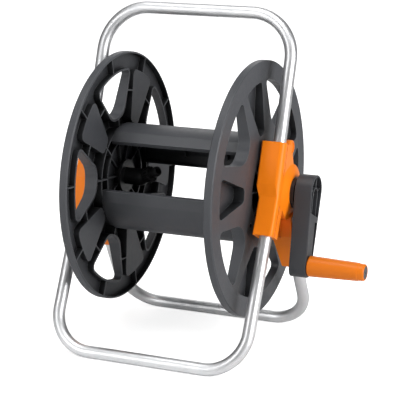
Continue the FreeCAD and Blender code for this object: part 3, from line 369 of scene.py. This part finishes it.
def build_materials(finish):
    """One material for each slot of the record, the crank's own grey, and the grip's orange darkened as
    painted shade.
    """
    moulded = build_moulded_group()
    plated = build_metal_group()
    made = {}
    # the last two columns set the reach and strength of the painted shade in recesses: strong on the grey,
    # faint on the crank
    for name, colour, reach, shade in (("grey_plastic", finish.grey, 0.04, 0.96),
                                       ("crank_plastic", finish.crank_grey, 0.010, 0.85)):
        made[name] = grouped_material(name, moulded, {
            "Colour": opaque(colour), "Edge Colour": (0.30, 0.31, 0.32, 1), "Grain": 1500.0,
            "Grain Depth": 0.35, "Roughness": 0.47, "Edge Radius": 0.0009, "Edge Wear": 0.75,
            "Painted Shade Reach": reach, "Painted Recess Shade": shade}, {"Specular IOR Level": 0.32})[0]
    # the grip's material is the bracket orange darkened, painted shade on the grip
    for name, colour in (("orange_plastic", finish.orange), ("grip_shaded_plastic", finish.grip_shaded_orange)):
        # faint painted shade in the oranges' recesses
        made[name] = grouped_material(name, moulded, {
            "Colour": opaque(colour), "Edge Colour": (0.98, 0.36, 0.06, 1), "Grain": 1300.0,
            "Grain Depth": 0.25, "Roughness": 0.40, "Edge Radius": 0.0012, "Edge Wear": 0.45,
            "Painted Shade Reach": 0.008, "Painted Recess Shade": 0.2}, {"Specular IOR Level": 0.25})[0]
    # black nylon and seal rubber keep the group's default painted shade in recesses
    made["black_nylon"] = grouped_material("black_nylon", moulded, {
        "Colour": opaque(finish.black), "Edge Colour": (0.05, 0.05, 0.052, 1), "Grain": 1800.0,
        "Grain Depth": 0.2, "Roughness": 0.42, "Edge Radius": 0.0005, "Edge Wear": 0.5},
        {"Specular IOR Level": 0.3})[0]
    made["seal_rubber"] = grouped_material("seal_rubber", moulded, {
        "Colour": (0.014, 0.014, 0.014, 1), "Edge Colour": (0.02, 0.02, 0.02, 1), "Grain": 2400.0,
        "Grain Depth": 0.3, "Roughness": 0.6, "Edge Radius": 0.0002, "Edge Wear": 0.0}, {})[0]
    for slot, colour, cloud, rough in (
            ("screw_steel", (0.62, 0.62, 0.61, 1), (0.42, 0.41, 0.39, 1), 0.30),
            ("zinc_tube", opaque(finish.zinc), (0.62, 0.63, 0.65, 1), 0.40)):
        material, tree, surface = grouped_material(slot, plated, {
            "Colour": colour, "Cloud Colour": cloud, "Roughness": rough, "Lines": 0.12}, {"Metallic": 1.0})
        where = node(tree, "ShaderNodeTexCoord")
        spread = node(tree, "ShaderNodeMapping")
        if slot == "zinc_tube":
            spread.inputs["Scale"].default_value = (9.0, 260.0, 1.0)
            tree.links.new(where.outputs["UV"], spread.inputs["Vector"])
        else:
            spread.inputs["Scale"].default_value = (900.0, 900.0, 900.0)
            tree.links.new(where.outputs["Object"], spread.inputs["Vector"])
        tree.links.new(spread.outputs[0], surface.inputs["Pattern"])
        made[slot] = material
    return made


def finish_piece(piece, slot, body, finish=None):
    """Give a new piece its body, and the finish of its record slot or its own."""
    piece.data.materials.clear()
    piece.data.materials.append(bpy.data.materials[(finish or slot) + FINISH])
    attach(piece, body)


# ------------------------------------------------------------------ stand tubes
def u_path(end, bar, half_width, bend, bend_samples=20, straight_samples=24):
    """Middle line of a U tube, its tangents and its plane's normal.

    The legs run from end to bar, two (y, z) points, at plus and minus half_width beside the drum's
    middle. A point is (x, s), s along the leg; each corner is the quarter circle
    (w - b + b cos t, L - b + b sin t). The pair is mapped to end + s times the leg's direction.
    """
    end, bar = np.array(end), np.array(bar)
    length = np.linalg.norm(bar - end)
    along = (bar - end) / length
    t = np.linspace(0, math.pi / 2, bend_samples)
    leg = np.linspace(0, length - bend, straight_samples)[:-1]
    corner = np.stack([half_width - bend + bend * np.cos(t), length - bend + bend * np.sin(t)], -1)
    right = np.concatenate([np.stack([np.full_like(leg, half_width), leg], -1), corner])
    bar_x = np.linspace(half_width - bend, bend - half_width, straight_samples)[1:-1]
    middle = np.stack([bar_x, np.full_like(bar_x, length)], -1)
    flat = np.concatenate([right, middle, right[::-1] * (-1, 1)])
    points = np.column_stack([MIDDLE_X + flat[:, 0], end + flat[:, 1:] * along])
    tangent = np.gradient(points, axis=0)
    tangent /= np.linalg.norm(tangent, axis=1)[:, None]
    return points, tangent, np.array([0.0, -along[1], along[0]])


def tube_piece(name, path, outer, wall, sides=56):
    """Tube round a plane path: p + r (cos a n + sin a (t x n)), outside wall out and inside wall back.

    The run in metres and the turn round the tube become the piece's UV map.
    """
    points, tangent, normal = path
    across = np.cross(tangent, normal)
    turn = np.linspace(0, 2 * math.pi, sides, endpoint=False)
    ring = np.cos(turn)[None, :, None] * normal + np.sin(turn)[None, :, None] * across[:, None]
    outside = points[:, None] + outer * ring
    inside = (points[:, None] + (outer - wall) * ring)[::-1]
    run = np.concatenate([[0], np.cumsum(np.linalg.norm(np.diff(points, axis=0), axis=1))])
    run = np.concatenate([run, run[::-1]])
    rows = len(run)

    def uv(i, j):
        return np.stack([run[i % rows], j * (2 * math.pi * outer / sides)], -1)

    return grid_object(name, np.concatenate([outside, inside]), True, True, uv)


class REEL_OT_stand_tubes(bpy.types.Operator):
    """Make the three bent tubes of the stand as smooth swept surfaces"""
    bl_idname = "reel.stand_tubes"
    bl_label = "Stand tubes"

    def execute(self, context):
        shape = context.scene.reel_shape
        radius = shape.tube_diameter / 2
        knee = np.array([AXIS_Y - shape.knee, AXIS_Z])
        for name, bend in (("handle_tube", shape.handle_bend), ("front_foot_tube", shape.foot_bend)):
            low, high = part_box(name)
            upward = name == "handle_tube"
            bar = np.array([high.y - radius, high.z - radius] if upward else [low.y + radius, low.z + radius])
            toward = (bar - knee) / np.linalg.norm(bar - knee)
            path = u_path(knee + TUBE_GAP * toward, bar, (high.x - low.x) / 2 - radius, bend)
            self.make(name, path, radius, shape.tube_wall)
        low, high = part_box("rear_foot_tube")
        bar = np.array([high.y - radius, low.z + radius])
        top_z = AXIS_Z - shape.rear_top
        top = np.array([bar[0] - (top_z - bar[1]) * math.tan(shape.rear_lean), top_z])
        path = u_path(top, bar, (high.x - low.x) / 2 - radius, shape.foot_bend)
        self.make("rear_foot_tube", path, radius, shape.tube_wall)
        return {"FINISHED"}

    def make(self, node_name, path, radius, wall):
        piece = tube_piece(node_name + "_drawn", path, radius, wall)
        finish_piece(piece, "zinc_tube", "frame")
        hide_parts(node_name)


# ------------------------------------------------------------------ grip
class REEL_OT_grip(bpy.types.Operator):
    """Make the tapered grip with its rounded shoulder and step"""
    bl_idname = "reel.grip"
    bl_label = "Crank grip"

    def execute(self, context):
        low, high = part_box("crank_grip")
        centre = Vector((0, (low.y + high.y) / 2, (low.z + high.z) / 2))
        shape = context.scene.reel_shape
        base = (high.z - low.z) / 2
        tip = base * shape.grip_taper
        start, end = low.x, high.x
        step = end - 0.010                                 # the taper ends here, at a small step
        step_drop = 0.0004
        edge = 0.0012                                      # bevel at the crank's end
        pin_bore, cap_seat, cap_depth = 0.0046, 0.0094, 0.0108
        body_x = np.linspace(start + 0.003, step, 30)
        fraction = (body_x - start) / (step - start)
        body_r = base - (base - tip - step_drop) * fraction ** 1.12
        outer = [(start, pin_bore), (start, base - edge), (start + edge, base)]
        outer += list(zip(body_x, body_r))
        outer += [(step + 0.0006, tip - 0.0002), (end - 0.0016, tip - 0.0006), (end, tip - 0.0022),
                  (end, cap_seat), (end - cap_depth, cap_seat), (end - cap_depth, pin_bore)]
        profile = rounded(outer, 0.0006, 4)
        piece = grid_object("grip_moulding", lathe_points(profile, centre, 96), True, True)
        # the grip takes the darkened copy of the orange, painted shade
        finish_piece(piece, "orange_plastic", "grip", "grip_shaded_plastic")
        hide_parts("crank_grip")
        return {"FINISHED"}


# ------------------------------------------------------------------ finishes of the carried-over pieces
class REEL_OT_finishes(bpy.types.Operator):
    """Make the materials and give them to every piece of the frame"""
    bl_idname = "reel.finishes"
    bl_label = "Finishes"

    def execute(self, context):
        made = build_materials(context.scene.reel_finish)
        slots = {entry["node"]: entry["material_slot"] for entry in frame["record"]["subparts"]}
        for name, piece in frame["nodes"].items():
            for holder in piece.material_slots:
                holder.material = made[OWN_FINISH.get(name, slots[name])]
        return {"FINISHED"}


# ------------------------------------------------------------------ floor, light and camera
def aimed(thing, target):
    """Turn a lamp or camera towards a point."""
    thing.rotation_euler = (Vector(target) - thing.location).to_track_quat("-Z", "Y").to_euler()


def soft_box(name, location, target, size, power):
    """Rectangular white area light, its size in metres and its power in watts."""
    data = bpy.data.lights.new(name, "AREA")
    data.shape = "RECTANGLE"
    data.size, data.size_y = size
    data.energy = power
    lamp = bpy.data.objects.new(name, data)
    lamp.location = location
    bpy.context.scene.collection.objects.link(lamp)
    aimed(lamp, target)


def floor_material():
    """Pale paper floor that stays light in the frame and keeps a faint contact shadow."""
    material = bpy.data.materials.new("studio_paper")
    material.use_nodes = True
    tree = material.node_tree
    shader = tree.nodes["Principled BSDF"]
    where = node(tree, "ShaderNodeTexCoord")
    fibre = node(tree, "ShaderNodeTexNoise", Scale=6.0, Detail=4.0)
    tree.links.new(where.outputs["Object"], fibre.inputs["Vector"])
    tint = mix_colour(tree, fibre.outputs["Fac"], (0.86, 0.86, 0.86, 1), (0.88, 0.88, 0.88, 1))
    tree.links.new(tint, shader.inputs["Base Color"])
    shader.inputs["Roughness"].default_value = 0.9
    shader.inputs["Specular IOR Level"].default_value = 0.1
    shader.inputs["Emission Color"].default_value = (1, 1, 1, 1)
    seen = node(tree, "ShaderNodeLightPath")
    away = node(tree, "ShaderNodeVectorMath", operation="LENGTH")
    tree.links.new(where.outputs["Object"], away.inputs[0])
    glow = node(tree, "ShaderNodeMapRange", From_Min=0.5, From_Max=3.5, To_Min=0.66, To_Max=1.0)
    tree.links.new(away.outputs["Value"], glow.inputs["Value"])
    tree.links.new(math_node(tree, "MULTIPLY", seen.outputs["Is Camera Ray"], glow.outputs["Result"]),
                   shader.inputs["Emission Strength"])
    return material


class REEL_OT_stage(bpy.types.Operator):
    """Set the pale floor, the soft boxes, the surroundings and the camera"""
    bl_idname = "reel.stage"
    bl_label = "Studio"

    def execute(self, context):
        stage = context.scene.reel_stage
        corners = np.array([[(x, y, 0.0) for x in (-FLOOR_HALF, FLOOR_HALF)]
                            for y in (-FLOOR_HALF, FLOOR_HALF)])
        floor = grid_object("studio_floor", corners, False, False)
        floor.data.materials.append(floor_material())
        if floor.data.polygons[0].normal.z < 0:
            floor.data.flip_normals()
        drum = Vector((MIDDLE_X, AXIS_Y, AXIS_Z))
        for name, location, size, power in SOFT_BOXES:
            soft_box(name, location, drum, size, power)
        self.surroundings(context)
        self.camera(context, stage, drum)
        context.scene.view_settings.view_transform = "Standard"
        return {"FINISHED"}

    def surroundings(self, context):
        world = bpy.data.worlds.new("studio_room")
        context.scene.world = world
        world.use_nodes = True
        tree = world.node_tree
        back = tree.nodes["Background"]
        back.inputs["Strength"].default_value = ROOM_LIGHT
        where = node(tree, "ShaderNodeTexCoord")
        split = node(tree, "ShaderNodeSeparateXYZ")
        tree.links.new(where.outputs["Generated"], split.inputs[0])
        ramp = node(tree, "ShaderNodeValToRGB")
        ramp.color_ramp.elements[0].position = 0.35
        ramp.color_ramp.elements[0].color = (0.35, 0.35, 0.36, 1)
        ramp.color_ramp.elements[1].position = 0.9
        ramp.color_ramp.elements[1].color = (1, 1, 1, 1)
        tree.links.new(math_node(tree, "MULTIPLY_ADD", split.outputs["Z"], 0.5), ramp.inputs["Fac"])
        tree.links.new(ramp.outputs["Color"], back.inputs["Color"])
        paper = node(tree, "ShaderNodeBackground", Color=(1, 1, 1, 1), Strength=1.0)
        seen = node(tree, "ShaderNodeLightPath")
        choose = node(tree, "ShaderNodeMixShader")
        tree.links.new(seen.outputs["Is Camera Ray"], choose.inputs[0])
        tree.links.new(back.outputs[0], choose.inputs[1])
        tree.links.new(paper.outputs[0], choose.inputs[2])
        tree.links.new(choose.outputs[0], tree.nodes["World Output"].inputs["Surface"])

    def camera(self, context, stage, drum):
        aim = drum + Vector(stage.aim)
        out = Vector((math.sin(stage.azimuth) * math.cos(stage.elevation),
                      -math.cos(stage.azimuth) * math.cos(stage.elevation), math.sin(stage.elevation)))
        data = bpy.data.cameras.new("studio_camera")
        data.sensor_width = 36.0
        data.lens = stage.lens
        data.shift_x, data.shift_y = stage.shift
        camera = bpy.data.objects.new("studio_camera", data)
        camera.location = aim + out * stage.distance
        aimed(camera, aim)
        context.scene.collection.objects.link(camera)
        context.scene.camera = camera


class REEL_PT_panel(bpy.types.Panel):
    """Lists the steps that dress the hose reel"""
    bl_idname = "REEL_PT_panel"
    bl_label = "Hose reel"
    bl_space_type = "VIEW_3D"
    bl_region_type = "UI"
    bl_category = "Hose reel"

    def draw(self, context):
        for step in STEPS:
            self.layout.operator(step.bl_idname)
        for group in (context.scene.reel_shape, context.scene.reel_finish, context.scene.reel_stage):
            for name in group.__annotations__:
                self.layout.prop(group, name)


STEPS = (REEL_OT_finishes, REEL_OT_stand_tubes, REEL_OT_grip, REEL_OT_stage)
SETTINGS = (("reel_shape", ReelShape), ("reel_finish", ReelFinish), ("reel_stage", ReelStage))


def register():
    for name, group in SETTINGS:
        bpy.utils.register_class(group)
        setattr(bpy.types.Scene, name, bpy.props.PointerProperty(type=group))
    for step in STEPS:
        bpy.utils.register_class(step)
    bpy.utils.register_class(REEL_PT_panel)


def unregister():
    bpy.utils.unregister_class(REEL_PT_panel)
    for step in reversed(STEPS):
        bpy.utils.unregister_class(step)
    for name, group in reversed(SETTINGS):
        delattr(bpy.types.Scene, name)
        bpy.utils.unregister_class(group)


def main():
    register()
    bpy.ops.reel.finishes()
    bpy.ops.reel.stand_tubes()
    bpy.ops.reel.grip()
    bpy.ops.reel.stage()


if __name__ == "__main__":
    main()
